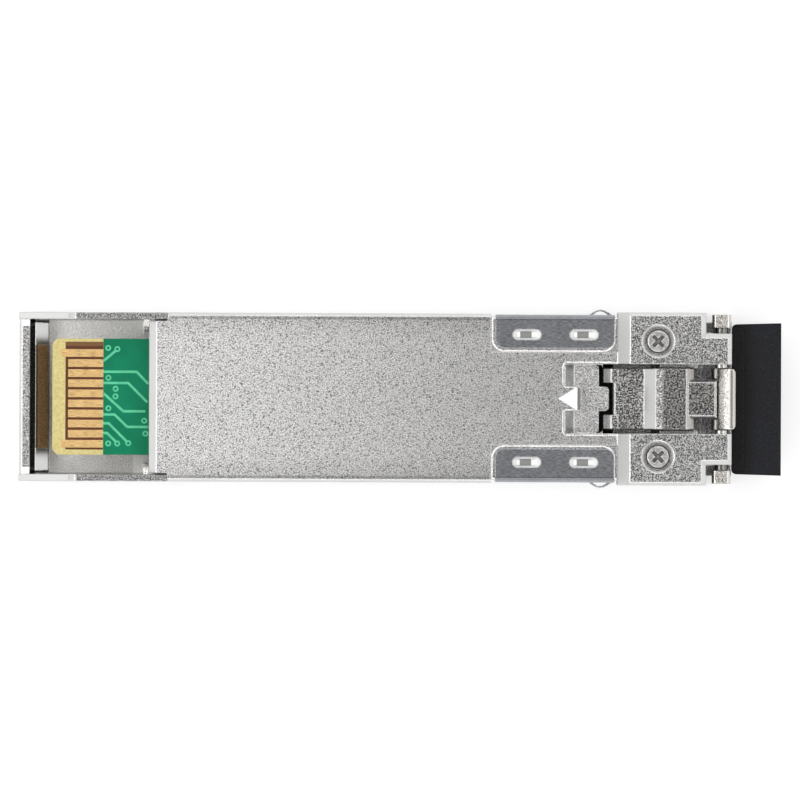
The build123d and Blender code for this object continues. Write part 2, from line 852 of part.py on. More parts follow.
# Receptacle insert: two keyed ports, seats for the barrels, screw bosses and shaft keepers
with BuildPart() as receptacle_insert:
    slab((insert_rear, insert_front), (-insert_half, insert_half), (insert_lift, insert_top))
    with BuildSketch(Plane.YZ.offset(port_rear)):
        with Locations(*optic_places):
            Rectangle(port_width, port_height)
            keyway_drop = port_height / 2 + keyway_height
            Rectangle(port_width - 2 * keyway_step, keyway_drop, align=(Align.CENTER, Align.MAX))
    extrude(amount=port_depth, mode=Mode.SUBTRACT)
    with BuildSketch(Plane.YZ.offset(insert_rear)):
        with Locations(*optic_places):
            Circle(barrel_radius + fit)
    extrude(amount=insert_length, mode=Mode.SUBTRACT)
    boss_rise = head_seat - screw_web - fit - insert_top
    with BuildSketch(Plane.XY.offset(insert_top)):
        with Locations(*screw_places):
            Circle(screw_boss_radius)
    extrude(amount=boss_rise)
    with BuildSketch(Plane.XY.offset(head_seat - screw_length - screw_fit)):
        with Locations(*screw_places):
            Circle(shank_radius + screw_fit)
    extrude(amount=screw_length, mode=Mode.SUBTRACT)
    keeper = (channel_half + clearance, pocket_inner - clearance)
    keeper_top = pivot_z - shaft_radius - shaft_fit
    pair((pivot_x - shaft_radius, pivot_x + shaft_radius), keeper, (insert_top, keeper_top))
save(receptacle_insert, "receptacle_insert")

# Gasket plate behind the insert, with a hole for each barrel
with BuildPart() as optics_gasket:
    gasket_height = insert_top - floor_top - 2 * fit
    with BuildSketch(Plane.YZ.offset(insert_rear - gasket_thickness)):
        with Locations((0, floor_top + fit)):
            Rectangle(2 * (insert_half - fit), gasket_height, align=(Align.CENTER, Align.MIN))
        with Locations(*optic_places):
            Circle(barrel_radius + fit, mode=Mode.SUBTRACT)
    extrude(amount=gasket_thickness)
save(optics_gasket, "optics_gasket")

# Transmitter and receiver: a flanged barrel with a ferrule bore, a can, and a flex
for device, (y, z) in zip(("transmitter", "receiver"), optic_places):
    with BuildPart() as barrel:
        with BuildSketch(Plane.YZ.offset(flange_rear)):
            with Locations((y, z)):
                Circle(flange_radius)
        extrude(amount=flange_thickness)
        with BuildSketch(Plane.YZ.offset(flange_rear)):
            with Locations((y, z)):
                Circle(barrel_radius)
        extrude(amount=port_rear + barrel_reach - flange_rear)
        with BuildSketch(Plane.YZ.offset(port_rear + barrel_reach)):
            with Locations((y, z)):
                Circle(ferrule_radius)
        extrude(amount=-ferrule_depth, mode=Mode.SUBTRACT)
    save(barrel, f"{device}_barrel")
    with BuildPart() as can:
        with BuildSketch(Plane.YZ.offset(can_rear)):
            with Locations((y, z)):
                Circle(can_radius)
        extrude(amount=can_length)
        with BuildSketch(Plane.YZ.offset(header_rear)):
            with Locations((y, z)):
                Circle(header_radius)
        extrude(amount=header_length)
    save(can, f"{device}_can")
    with BuildPart() as flex:
        with BuildSketch(Plane.XZ.offset(-y)):
            with BuildLine():
                bend_x = header_rear - flex_bend - flex_thickness
                bend_z = board_top - flex_bend
                inner_x = bend_x + flex_bend
                flex_end = board_front - flex_overlap
                flex_foot = board_top - flex_drop
                flex_top = board_top + flex_thickness
                Line((flex_end, board_top), (bend_x, board_top))
                CenterArc((bend_x, bend_z), flex_bend, 90, -90)
                Line((inner_x, bend_z), (inner_x, flex_foot))
                Line((inner_x, flex_foot), (header_rear, flex_foot))
                Line((header_rear, flex_foot), (header_rear, bend_z))
                CenterArc((bend_x, bend_z), flex_bend + flex_thickness, 0, 90)
                Line((bend_x, flex_top), (flex_end, flex_top))
                Line((flex_end, flex_top), (flex_end, board_top))
            make_face()
        extrude(amount=port_width / 2 - flex_margin, both=True)
    save(flex, f"{device}_flex")

# Circuit board: a bevelled tongue for the host connector, then the full width
with BuildPart() as circuit_board:
    with BuildSketch(Plane.XY.offset(board_bottom)) as board_plan:
        with Locations((board_rear, 0)):
            Rectangle(tongue_length, tongue_width, align=(Align.MIN, Align.CENTER))
        with Locations((board_rear + tongue_length, 0)):
            Rectangle(board_length - tongue_length, board_width, align=(Align.MIN, Align.CENTER))
        chamfer(board_plan.vertices().group_by(Axis.X)[0], board_seat)
        chamfer(board_plan.vertices().group_by(Axis.X)[-1], board_seat)
    extrude(amount=board_thickness)
    for level, inside in ((board_top, -tongue_bevel_height), (board_bottom, tongue_bevel_height)):
        bevel_side = side_profile(
            (board_rear, level),
            (board_rear + tongue_bevel, level),
            (board_rear, level + inside),
        )
        across(bevel_side, tongue_width / 2, Mode.SUBTRACT)
save(circuit_board, "circuit_board")

# Gold edge contacts, ten on each face, of which the outer pair reaches further back
pad_pitch = (tongue_width - 2 * pad_margin) / (pad_count - 1)
pad_rows = [pad_row_shift + offset for offset in spread(pad_count, pad_pitch)]
for face_name, level in (("upper", board_top), ("lower", board_bottom - copper)):
    with BuildPart() as edge_contacts:
        with BuildSketch(Plane.XY.offset(level)):
            for row in pad_rows:
                first = pad_early if row in (pad_rows[0], pad_rows[-1]) else pad_start
                with Locations((board_rear + first, row)):
                    Rectangle(pad_end - first, pad_pitch - pad_gap, align=(Align.MIN, Align.CENTER))
        extrude(amount=copper)
    save(edge_contacts, f"edge_contacts_{face_name}")

# Traces that run from the contacts under the solder mask, with rings round their holes.
# Each route is given by distances from the board's rear edge and from its middle line.
routes = [
    [(4.04, 1.98), (6.7, 1.98), (7.61, 1.03)],
    [(4.04, 1.09), (6.02, 1.09), (7.53, -0.42)],
    [(4.04, 0.29), (5.64, -1.15), (7.39, -1.15)],
    [(4.04, -1.41), (4.95, -1.41), (5.96, -2.39), (7.61, -2.39)],
    [(4.04, -2.11), (4.48, -2.11), (5.95, -3.58)],
    [(4.04, -2.88), (4.36, -2.88), (5.1, -3.62)],
    [(4.04, 2.83), (4.44, 3.15), (5.08, 3.7)],
]
rings = [
    (5.15, 3.78),
    (4.42, 3.87),
    (4.45, 1.5),
    (5.02, 0.63),
    (5.01, 0.03),
    (4.46, -0.92),
    (7.3, -1.89),
    (7.4, -2.92),
    (6.04, -3.68),
    (5.17, -3.71),
    (4.45, -3.71),
]
with BuildPart() as board_traces:
    with BuildSketch(Plane.XY.offset(board_top)):
        for route in routes:
            with BuildLine(mode=Mode.PRIVATE) as path:
                Polyline(*[(board_rear + x, y) for x, y in route])
            trace(path.line, trace_width)
        with Locations(*[(board_rear + x, y) for x, y in rings]):
            RegularPolygon(ring_radius, ring_sides)
            RegularPolygon(ring_hole, ring_sides, mode=Mode.SUBTRACT)
    extrude(amount=copper)
save(board_traces, "board_traces")

# Chips with bevelled tops, the thermal pad under the roof, and the passives
chips = [
    ("laser_driver", driver_size, driver_share, driver_y),
    ("limiting_amplifier", amplifier_size, amplifier_share, amplifier_y),
    ("controller_chip", controller_size, controller_share, controller_y),
]
for chip_name, size, share, y in chips:
    with BuildPart() as chip:
        with BuildSketch(Plane.XY.offset(board_top)):
            with Locations(on_board(share, y)):
                Rectangle(size, size)
        extrude(amount=chip_height)
        chamfer(chip.edges().group_by(Axis.Z)[-1], chip_bevel)
    save(chip, chip_name)

with BuildPart() as thermal_pad:
    with BuildSketch(Plane.XY.offset(board_top + chip_height)):
        with Locations(on_board(driver_share, driver_y)):
            Rectangle(driver_size - 4 * chip_bevel, driver_size - 4 * chip_bevel)
    extrude(amount=roof_under - board_top - chip_height)
save(thermal_pad, "thermal_pad")

with BuildPart() as board_capacitors:
    with BuildSketch(Plane.XY.offset(board_top)):
        left_share, right_share = capacitor_shares
        with Locations(on_board(left_share, capacitor_y), on_board(right_share, -capacitor_y)):
            with GridLocations(2 * capacitor_width, 1.5 * capacitor_length, 4, 2):
                Rectangle(capacitor_width, capacitor_length)
    extrude(amount=capacitor_width)
save(board_capacitors, "board_capacitors")

with BuildPart() as board_inductors:
    with BuildSketch(Plane.XY.offset(board_bottom)):
        with Locations(on_board(inductor_share, 0)):
            with GridLocations(2 * inductor_length, 2 * inductor_width, 2, 2):
                Rectangle(inductor_length, inductor_width)
    extrude(amount=-inductor_width)
    chamfer(board_inductors.edges().group_by(Axis.Z)[0], chip_bevel)
save(board_inductors, "board_inductors")

# Dust plug: a flared grip with rounded inner corners, a collar and two bored prongs
grip_rear = front + plug_gap
grip_front = front + plug_reach
near_half = arm_inner - plug_near_gap
far_half = arm_inner - plug_far_gap
with BuildPart() as dust_plug:
    with BuildSketch(Plane.XY.offset(plug_lift)) as grip:
        with BuildLine():
            Polyline(
                (grip_rear, near_half),
                (grip_front, far_half),
                (grip_front, -far_half),
                (grip_rear, -near_half),
                close=True,
            )
        make_face()
        fillet(grip.vertices().group_by(Axis.X)[0], plug_corner)
    extrude(amount=plug_height)
    collar_half = near_half - plug_corner
    slab(
        (grip_rear, grip_rear + plug_collar_length),
        (-collar_half, collar_half),
        (plug_lift - plug_collar_rise, plug_lift + plug_height + plug_collar_rise),
    )
    prong_rear = front - prong_length
    prong_width = port_width - 2 * prong_clearance
    prong_height = port_height - 2 * prong_clearance
    with BuildSketch(Plane.YZ.offset(prong_rear)) as prongs:
        with Locations(*optic_places):
            Rectangle(prong_width, prong_height)
        chamfer(prongs.vertices(), prong_corner)
    extrude(amount=grip_rear - prong_rear)
    with BuildSketch(Plane.YZ.offset(prong_rear)):
        with Locations(*optic_places):
            Circle(barrel_radius + prong_bore_fit)
    extrude(amount=prong_bore_depth, mode=Mode.SUBTRACT)
save(dust_plug, "dust_plug")
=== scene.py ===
from math import radians

import bpy
from mathutils import Euler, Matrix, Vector


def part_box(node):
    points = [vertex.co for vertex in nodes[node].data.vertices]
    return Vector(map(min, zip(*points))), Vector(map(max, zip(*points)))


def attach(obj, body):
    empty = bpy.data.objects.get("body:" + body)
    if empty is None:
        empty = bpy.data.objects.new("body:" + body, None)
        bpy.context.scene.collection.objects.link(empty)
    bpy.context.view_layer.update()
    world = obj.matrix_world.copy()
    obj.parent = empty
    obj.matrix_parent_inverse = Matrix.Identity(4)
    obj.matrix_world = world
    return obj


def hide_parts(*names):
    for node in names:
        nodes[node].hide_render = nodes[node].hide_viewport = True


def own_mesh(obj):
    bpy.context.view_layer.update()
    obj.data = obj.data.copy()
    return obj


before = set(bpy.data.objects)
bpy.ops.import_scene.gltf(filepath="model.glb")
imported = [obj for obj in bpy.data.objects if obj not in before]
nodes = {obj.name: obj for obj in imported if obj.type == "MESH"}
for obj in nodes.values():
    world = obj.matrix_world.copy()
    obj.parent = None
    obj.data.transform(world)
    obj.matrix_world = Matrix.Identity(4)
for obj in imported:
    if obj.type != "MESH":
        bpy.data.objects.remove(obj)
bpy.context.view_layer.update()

# The looks of a pluggable optical module that lies with its latch side up. Everything is in
# metres. X runs from the electrical end to the optical end and Z from the label face to the
# latch face.
MM = 0.001
electrical_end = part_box("cover")[0].x


# Camera: straight down on the latch side through a long lens
camera_height = 2.4
frame_width = 63.39 * MM
picture_plane = 9.5 * MM
camera_offset = -0.166 * MM
camera_roll = radians(0.24)
sensor_width = 36.0

camera_data = bpy.data.cameras.new("camera")
camera_data.sensor_width = sensor_width
camera_data.lens = sensor_width * camera_height / frame_width
camera_data.clip_start = 0.01
camera_data.clip_end = 20.0
camera = bpy.data.objects.new("camera", camera_data)
camera.location = (0, camera_offset, picture_plane + camera_height)
camera.rotation_euler = (0, 0, camera_roll)
bpy.context.scene.collection.objects.link(camera)
bpy.context.scene.camera = camera
bpy.context.scene.view_settings.view_transform = "Standard"


class Shading:
    """Short calls for the shader nodes of one material or world."""

    def __init__(self, owner):
        self.tree = owner.node_tree

    def node(self, kind, inputs=None, **settings):
        """A new node with these settings, whose inputs are given values or links."""
        made = self.tree.nodes.new(kind)
        for name, value in settings.items():
            setattr(made, name, value)
        for name, value in (inputs or {}).items():
            self.feed(made.inputs[name], value)
        return made

    def feed(self, socket, value):
        """Link a socket, or set its value."""
        if isinstance(value, bpy.types.NodeSocket):
            self.tree.links.new(value, socket)
        else:
            socket.default_value = value

    def parts(self, vector):
        """The three parts of a vector."""
        return self.node("ShaderNodeSeparateXYZ", {"Vector": vector}).outputs

    def math(self, operation, first, second=0.0):
        """Arithmetic on one or two values."""
        inputs = {0: first, 1: second}
        return self.node("ShaderNodeMath", inputs, operation=operation).outputs[0]

    def ramp(self, value, low, high, to_low=0.0, to_high=1.0):
        """The value carried smoothly from one range to another."""
        inputs = {"Value": value, "From Min": low, "From Max": high}
        inputs.update({"To Min": to_low, "To Max": to_high})
        return self.node("ShaderNodeMapRange", inputs, interpolation_type="SMOOTHSTEP").outputs[0]

    def within(self, value, low, high, soft=0.02 * MM):
        """1 where the value lies between two limits, fading over a soft edge."""
        above = self.ramp(value, low - soft, low + soft)
        below = self.ramp(value, high - soft, high + soft, 1.0, 0.0)
        return self.math("MULTIPLY", above, below)

    def mix(self, factor, first, second):
        """A colour between two."""
        inputs = {0: factor, 6: first, 7: second}
        return self.node("ShaderNodeMix", inputs, data_type="RGBA").outputs[2]

    def between(self, factor, first, second):
        """A value between two."""
        inputs = {0: factor, 2: first, 3: second}
        return self.node("ShaderNodeMix", inputs, data_type="FLOAT").outputs[0]


class Finish(Shading):
    """One material, and the places and directions that its looks depend on."""

    def __init__(self, name, colour, roughness, metallic=0.0):
        self.material = bpy.data.materials.new(name)
        self.material.use_nodes = True
        super().__init__(self.material)
        self.shader = self.tree.nodes["Principled BSDF"]
        self.colour = (*colour, 1.0)
        self.set(Base_Color=self.colour, Roughness=roughness, Metallic=metallic)
        coordinates = self.node("ShaderNodeTexCoord").outputs
        self.place = coordinates["Object"]
        self.x, self.y, self.z = self.parts(self.place)
        self.start = self.math("SUBTRACT", self.x, electrical_end)
        self.side = self.math("ABSOLUTE", self.y)
        self.slope = self.math("ABSOLUTE", self.parts(coordinates["Normal"])[2])

    def set(self, **inputs):
        """Link or set the shader's own inputs, with underscores for spaces."""
        for name, value in inputs.items():
            self.feed(self.shader.inputs[name.replace("_", " ")], value)

    def region(self, reach=None, sides=None, levels=None, ys=None):
        """1 inside a box given by pairs of limits in mm.

        Reach is from the electrical end, sides are from the middle plane either way, and
        levels are heights."""
        mask = 1.0
        values = (self.start, self.side, self.z, self.y)
        for value, limits in zip(values, (reach, sides, levels, ys)):
            if limits:
                low, high = [limit * MM for limit in limits]
                mask = self.math("MULTIPLY", mask, self.within(value, low, high))
        return mask

    def outline(self, reach, sides, corner, band, levels):
        """1 along the edge of a rectangle with rounded corners, given in mm.

        Band is how far the line reaches from that edge, inwards below 0 and outwards above."""
        squares = []
        for value, (low, high) in ((self.start, reach), (self.side, sides)):
            centre, inner = (low + high) / 2 * MM, ((high - low) / 2 - corner) * MM
            off = self.math("ABSOLUTE", self.math("SUBTRACT", value, centre))
            out = self.math("MAXIMUM", self.math("SUBTRACT", off, inner), 0.0)
            squares.append(self.math("POWER", out, 2.0))
        far = self.math("SQRT", self.math("ADD", *squares))
        line = self.within(far, *[(corner + limit) * MM for limit in band])
        return self.math("MULTIPLY", line, self.region(levels=levels))

    def noise(self, size, detail=2.0, stretch=(1, 1, 1), low=0.3, high=0.7):
        """Cloudy noise from 0 to 1 in patches of about this size, longer along stretched axes."""
        scale = [1 / (size * MM * part) for part in stretch]
        spot = self.node("ShaderNodeMapping", {"Vector": self.place, "Scale": scale}).outputs[0]
        cloud = self.node("ShaderNodeTexNoise", {"Vector": spot, "Scale": 1.0, "Detail": detail})
        return self.ramp(cloud.outputs[0], low, high)

    def tint(self, share):
        """The finish's own colour made darker or lighter."""
        return (*[part * share for part in self.colour[:3]], 1.0)

    def shaded(self, colour, painted_shades):
        """Painted shade and light: the colour darker or lighter in regions, given as (region,
        share).
        """
        for limits, share in painted_shades:
            inputs = {0: 1.0, 6: colour, 7: (share, share, share, 1)}
            settings = dict(data_type="RGBA", blend_type="MULTIPLY")
            dimmed = self.node("ShaderNodeMix", inputs, **settings).outputs[2]
            colour = self.mix(self.region(**limits), colour, dimmed)
        return colour

    def any_of(self, regions):
        """1 inside any of these regions."""
        mask = 0.0
        for limits in regions:
            mask = self.math("MAXIMUM", mask, self.region(**limits))
        return mask

    def soft_edge(self, radius):
        """The surface's direction with its edges rounded off, and 1 on those edges."""
        flat, turned = 0.995, 0.93
        rounded = self.node("ShaderNodeBevel", {"Radius": radius * MM}, samples=4).outputs[0]
        true = self.node("ShaderNodeNewGeometry").outputs["True Normal"]
        align = self.node("ShaderNodeVectorMath", {0: rounded, 1: true}, operation="DOT_PRODUCT")
        return rounded, self.ramp(align.outputs["Value"], flat, turned)

    def relief(self, height, depth, normal):
        """Raise the surface by a height from 0 to 1 times a depth in mm."""
        inputs = {"Height": height, "Distance": depth * MM, "Strength": 1.0, "Normal": normal}
        self.set(Normal=self.node("ShaderNodeBump", inputs).outputs[0])


def dress(finish, *names):
    """Give CAD nodes this finish."""
    for name in names:
        mesh = nodes[name].data
        mesh.materials.clear()
        mesh.materials.append(finish.material)


# Castings: roughness of their smooth, matte, pale and grained places, sizes in mm and shares
polished, matted, scattered = 0.22, 0.6, 0.5
grain_polish = (0.25, 0.42)
cast_edge = 0.14
sloping, slope_blend = (0.08, 0.975), 0.02
speck_share, clump_share = 0.6, 0.75
drift_size, drift_dark = 5.0, 0.94
# Share of the painted reflection's colour in its darker clumps
reflection_dark = 0.6
# Painted shade darkening castings towards their sides; an even tone along them unless given
painted_side_fade = (4.2, 7), (1.0, 0.8)
even_tone = (0, 60), (1.0, 1.0)


def casting(
    name,
    grained,
    bare,
    grain_size,
    depth,
    contrast,
    smooth=(),
    matte=(),
    rough=(),
    pale=(),
    patches=(),
    painted_reflections=(),
    painted_highlights=(),
    painted_shades=(),
    painted_fade=even_tone,
):
    """Plated die casting: grained flats, smooth slopes, light edges of wear and painted
    highlight.

    Smooth and matte are lists of regions without grain, rough of slopes that have it, and pale
    of places that scatter light. Patches are (region, share, contrast), where the grain is
    lighter or darker by that share, painted reflections are (region, colour), and painted
    highlights are bright lines as (outline, share). Painted shade and light, as (region, share),
    lie on top of it all. The fade gives the grain's painted light and shade at two reaches,
    with a tone between them."""
    finish = Finish(name, grained, 0.35, metallic=1.0)
    sloped = finish.within(finish.slope, *sloping, soft=slope_blend)
    unmarked = finish.math("SUBTRACT", 1.0, finish.any_of(rough))
    sloped = finish.math("MULTIPLY", sloped, unmarked)
    dull = finish.any_of(matte)
    plain = finish.math("MAXIMUM", finish.any_of(smooth), dull)
    plain = finish.math("MAXIMUM", sloped, plain)
    rounded, edge = finish.soft_edge(cast_edge)
    # Edges take the lighter bare colour: partly wear, partly a painted highlight
    bare_wear_and_sheen = finish.math("MAXIMUM", plain, edge)

    grain = finish.noise(grain_size, detail=1.0, low=0.38, high=0.62)
    specks = finish.noise(grain_size * speck_share, detail=1.0, low=0.4, high=0.64)
    clumps = finish.noise(grain_size * clump_share, detail=2.0, low=0.38, high=0.62)
    drift = finish.noise(drift_size, low=0.2, high=0.8)

    # Painted light and shade: the grain's tone changes along the reach and darkens to the sides
    tone = 1.0
    for value, (ends, tones) in ((finish.start, painted_fade), (finish.side, painted_side_fade)):
        low, high = [end * MM for end in ends]
        tone = finish.math("MULTIPLY", tone, finish.ramp(value, low, high, *tones))
    colour = finish.mix(specks, finish.tint(1 - contrast), finish.tint(1 + contrast))
    toned = finish.node("ShaderNodeVectorMath", {0: colour, "Scale": tone}, operation="SCALE")
    colour = toned.outputs[0]
    for limits, share, swing in patches:
        dark, light = finish.tint(share * (1 - swing)), finish.tint(share * (1 + swing))
        colour = finish.mix(finish.region(**limits), colour, finish.mix(clumps, dark, light))
    # Painted reflection: a face takes the colour of what it mirrors, in clumps
    for limits, reflected_colour in painted_reflections:
        dark = (*[part * reflection_dark for part in reflected_colour], 1.0)
        reflection = finish.mix(clumps, dark, (*reflected_colour, 1.0))
        colour = finish.mix(finish.region(**limits), colour, reflection)
    # Painted highlights: bright lines along these edges
    for line, share in painted_highlights:
        colour = finish.mix(finish.outline(**line), colour, finish.tint(share))
    drifted = (*[part * drift_dark for part in bare], 1.0)
    smooth_colour = finish.mix(drift, (*bare, 1.0), drifted)
    # Painted shade and painted light go on top of the colour.
    finish.set(Base_Color=finish.shaded(finish.mix(bare_wear_and_sheen, colour, smooth_colour), painted_shades))

    polish = finish.between(dull, polished, matted)
    gloss = finish.between(finish.any_of(pale), finish.between(grain, *grain_polish), scattered)
    finish.set(Roughness=finish.between(bare_wear_and_sheen, gloss, polish))
    height = finish.math("MULTIPLY", grain, finish.math("SUBTRACT", 1.0, bare_wear_and_sheen))
    finish.relief(height, depth, rounded)
    return finish


# Places on the two housings, from the electrical end to the nose
skirt_tops = dict(reach=(-1, 3.86), sides=(6, 7), levels=(8.6, 9.0))
skirt_feet = dict(reach=(-1, 14), sides=(6, 7), levels=(0.9, 1.9))
rear_bar = dict(reach=(-1, 0.83), levels=(3, 4.5))
bar_groove = dict(reach=(0.84, 1.24), levels=(3, 4.2))
sill = dict(reach=(1.26, 2.34), sides=(-1, 4.1), levels=(3, 4.24))
sill_edge = dict(reach=(1.2, 1.45), sides=(-1, 4.1), levels=(2.9, 4.3))
sill_ends = dict(reach=(1.26, 2.34), sides=(4.1, 6), levels=(3, 4.24))
sill_gaps = dict(reach=(0.8, 2.34), sides=(5.85, 6.1), levels=(3, 4))
bay_floor = dict(reach=(2.3, 11), levels=(1.8, 2.1))
bay_shadow = dict(reach=(2.4, 9), levels=(1.8, 2.1), ys=(-6.2, 0))
bay_walls = dict(reach=(-1, 13), sides=(5.6, 6.35), levels=(2.1, 8.6))
rails = dict(reach=(4.5, 11.76), sides=(6.1, 7), levels=(9.3, 9.6))
rail_edges = dict(reach=(4.6, 11.76), sides=(6, 6.2), levels=(9.3, 9.6))
top_edges = dict(reach=(12, 37.3), sides=(6.2, 6.42), levels=(9.4, 9.6))
slot_floors = dict(reach=(38, 47), sides=(4.6, 5.5), levels=(9.26, 9.5))
nubs = [
    dict(reach=reach, sides=(4.75, 5.35), levels=(9.32, 9.5))
    for reach in ((39.72, 40.63), (44.24, 45.15))
]
boss = dict(reach=(42, 44.4), sides=(-1, 1.8), levels=(9.56, 10.2))
boss_back = dict(reach=(44.26, 44.5), sides=(-1, 0.9), levels=(9.4, 9.6))
boss_shadow = dict(reach=(44.2, 44.5), sides=(-1, 0.9), levels=(9.4, 9.6))
recess_floor = dict(reach=(43, 54), sides=(-1, 2.8), levels=(8.6, 9.2))
recess_middle = dict(reach=(44.6, 47), sides=(-1, 1.6), levels=(8.7, 9.5))
channel_floor = dict(reach=(45.9, 47.1), sides=(-1, 2.8), levels=(7.9, 8.65))
channel_walls = dict(reach=(45.8, 47.1), sides=(2.62, 2.84), levels=(7.9, 9.3))
crank_well = dict(reach=(50.8, 57), sides=(-1, 2.8), levels=(7, 8.4))
screw_seats = dict(reach=(49.4, 52), sides=(3, 6), levels=(9.6, 9.7))
nose_top = dict(reach=(47.5, 70), levels=(9.9, 12))
# Painted highlight lines round the pocket for the collar's flaps and round the recess
pocket_line = dict(
    reach=(37.44, 47.3), sides=(3.68, 20), corner=1.04, band=(-0.15, -0.02), levels=(9.2, 9.4)
)
recess_line = dict(
    reach=(43.17, 60), sides=(0.93, 2.84), corner=0.3, band=(0, 0.1), levels=(9.4, 9.6)
)

die_cast = casting(
    "die_cast_metal",
    grained=(0.42, 0.415, 0.41),
    bare=(0.68, 0.68, 0.67),
    grain_size=0.11,
    depth=0.02,
    contrast=0.55,
    rough=[sill],
    matte=[slot_floors, skirt_tops, boss_back],
    pale=[bay_floor, sill],
    patches=[
        (nose_top, 0.55, 0.85),
        (rear_bar, 0.75, 0.5),
        (rails, 0.5, 0.95),
        # Painted light: deep bay floor, bay walls, screw seats' gap; painted shade: recess floor
        (bay_floor, 2.3, 0.2),
        (bay_walls, 2.25, 0.05),
        (recess_floor, 0.84, 0.4),
        (screw_seats, 2.0, 0.1),
    ],
    # A painted reflection of the board's brown on the sill's slope
    painted_reflections=[(sill, (0.3, 0.19, 0.09))],
    # Painted highlights round the flaps' pocket and round the recess
    painted_highlights=[(pocket_line, 1.95), (recess_line, 1.6)],
    # Painted shade: gaps, grooves, nubs and shadows darkened; bright tops toned down
    painted_shades=[
        (skirt_tops, 0.78),
        (skirt_feet, 0.6),
        (rail_edges, 0.5),
        (top_edges, 0.68),
        (sill_edge, 0.35),
        (bar_groove, 0.04),
        (sill_gaps, 0.1),
        (sill_ends, 0.5),
        (bay_shadow, 0.78),
        (channel_floor, 0.03),
        (channel_walls, 0.05),
        (crank_well, 0.85),
        (nubs[0], 0.3),
        (nubs[1], 0.3),
        (boss_shadow, 0.35),
        (recess_middle, 0.86),
        (boss, 0.8),
    ],
    # Painted light and shade: grain lighter at the electrical end, darker towards the nose
    painted_fade=((8, 48), (1.13, 0.68)),
)
dress(die_cast, "cover", "base_housing")

tongue = dict(reach=(51, 56))
ear_sides = dict(reach=(-1, 47.2), sides=(2.36, 3), levels=(7, 9.9))
slider_sides = dict(reach=(47.2, 60), sides=(2.36, 3), levels=(7, 9.9))
slider_cast = casting(
    "slider_metal",
    grained=(0.24, 0.235, 0.229),
    bare=(0.68, 0.675, 0.67),
    grain_size=0.17,
    depth=0.05,
    contrast=0.9,
    patches=[(tongue, 0.65, 0.9)],
    # Painted shade on the sides of the ears and of the slider, down in the channel
    painted_shades=[(ear_sides, 0.08), (slider_sides, 0.35)],
)
dress(slider_cast, "latch_slider")

crank_back = dict(reach=(55.3, 56.22), sides=(-1, 2.45), levels=(8, 12))
crank_top = dict(reach=(55.3, 56.25), sides=(-1, 2.45), levels=(8, 12))
crank_front = dict(reach=(56.25, 57), sides=(-1, 2.45), levels=(2, 12))
crank_band = dict(reach=(56.25, 56.6), sides=(-1, 2.3), levels=(9, 12))
hub_faces = dict(sides=(5.2, 5.68), levels=(8, 9.3))
bail_cast = casting(
    "bail_metal",
    grained=(0.42, 0.405, 0.38),
    bare=(0.6, 0.58, 0.545),
    grain_size=0.13,
    depth=0.02,
    contrast=0.5,
    smooth=[crank_front],
    rough=[crank_back],
    patches=[(crank_top, 1.15, 0.35)],
    # Painted shade on a band across the crank's front and on the hub faces in the gaps
    painted_shades=[(crank_band, 0.65), (hub_faces, 0.35)],
)
dress(bail_cast, "bail")


# Rolled and turned metals and mouldings: sizes and depths in mm
line_size, line_depth = 0.05, 0.0006
sheet_cloud, spot_size, sheet_edge = 1.5, 0.25, 0.1
# The sheets' edge colour, partly from wear and partly a painted highlight
wear_and_sheen_colour = (0.7, 0.7, 0.7, 1.0)
moulded_cloud, dust_size, moulded_edge = 3.0, 0.1, 0.08


def sheet_metal(name, colour, roughness, stretch=(8, 1, 1), painted_shades=(), mottle=0.0):
    """Rolled or turned metal with faint lines one way, lighter edges and, if mottled, dull spots.

    The edges are lighter partly from wear and partly as a painted highlight.
    """
    finish = Finish(name, colour, roughness, metallic=1.0)
    lines = finish.noise(line_size, detail=3.0, stretch=stretch)
    cloud = finish.noise(sheet_cloud, low=0.25, high=0.75)
    rounded, edge = finish.soft_edge(sheet_edge)
    rolled = finish.mix(cloud, finish.tint(0.93), finish.tint(1.07))
    if mottle:
        spots = finish.noise(spot_size, detail=2.0, low=0.38, high=0.6)
        rolled = finish.mix(spots, finish.tint(1 - mottle), rolled)
    # Lighter edges: partly wear, partly a painted highlight
    bare_wear_and_sheen = finish.mix(edge, rolled, wear_and_sheen_colour)
    finish.set(Base_Color=finish.shaded(bare_wear_and_sheen, painted_shades))
    finish.set(Roughness=finish.between(lines, roughness * 0.8, roughness * 1.25))
    finish.relief(lines, line_depth, rounded)
    return finish


# Painted light and shade on the collar: bend lighter, dark line where it starts, fingers lighter
bent_edge = dict(sides=(6.28, 8), levels=(8.8, 12))
bend_start = dict(sides=(6.22, 6.44), levels=(8.8, 12))
fingers = dict(sides=(6.68, 8))
sheet_painted_shades = [(bent_edge, 1.05), (bend_start, 0.4), (fingers, 1.6)]
spring_sheet = sheet_metal("spring_sheet", (0.305, 0.314, 0.332), 0.24, painted_shades=sheet_painted_shades)
dress(spring_sheet, "emi_collar")
# Painted shade in the screw heads' cross recess
recess = [(dict(levels=(9.8, 10.09)), 0.45)]
screw_steel = sheet_metal("screw_steel", (0.58, 0.57, 0.55), 0.3, (1, 1, 4), recess, mottle=0.35)
dress(screw_steel, "nose_screw_left", "nose_screw_right")
dress(sheet_metal("spring_wire", (0.55, 0.55, 0.55), 0.28), "slider_spring")
turned_steel = sheet_metal("turned_steel", (0.60, 0.60, 0.58), 0.25, (1, 6, 6))
dress(turned_steel, "transmitter_barrel", "receiver_barrel")
plated_can = sheet_metal("plated_can", (0.55, 0.55, 0.53), 0.3, (6, 1, 1))
dress(plated_can, "transmitter_can", "receiver_can")


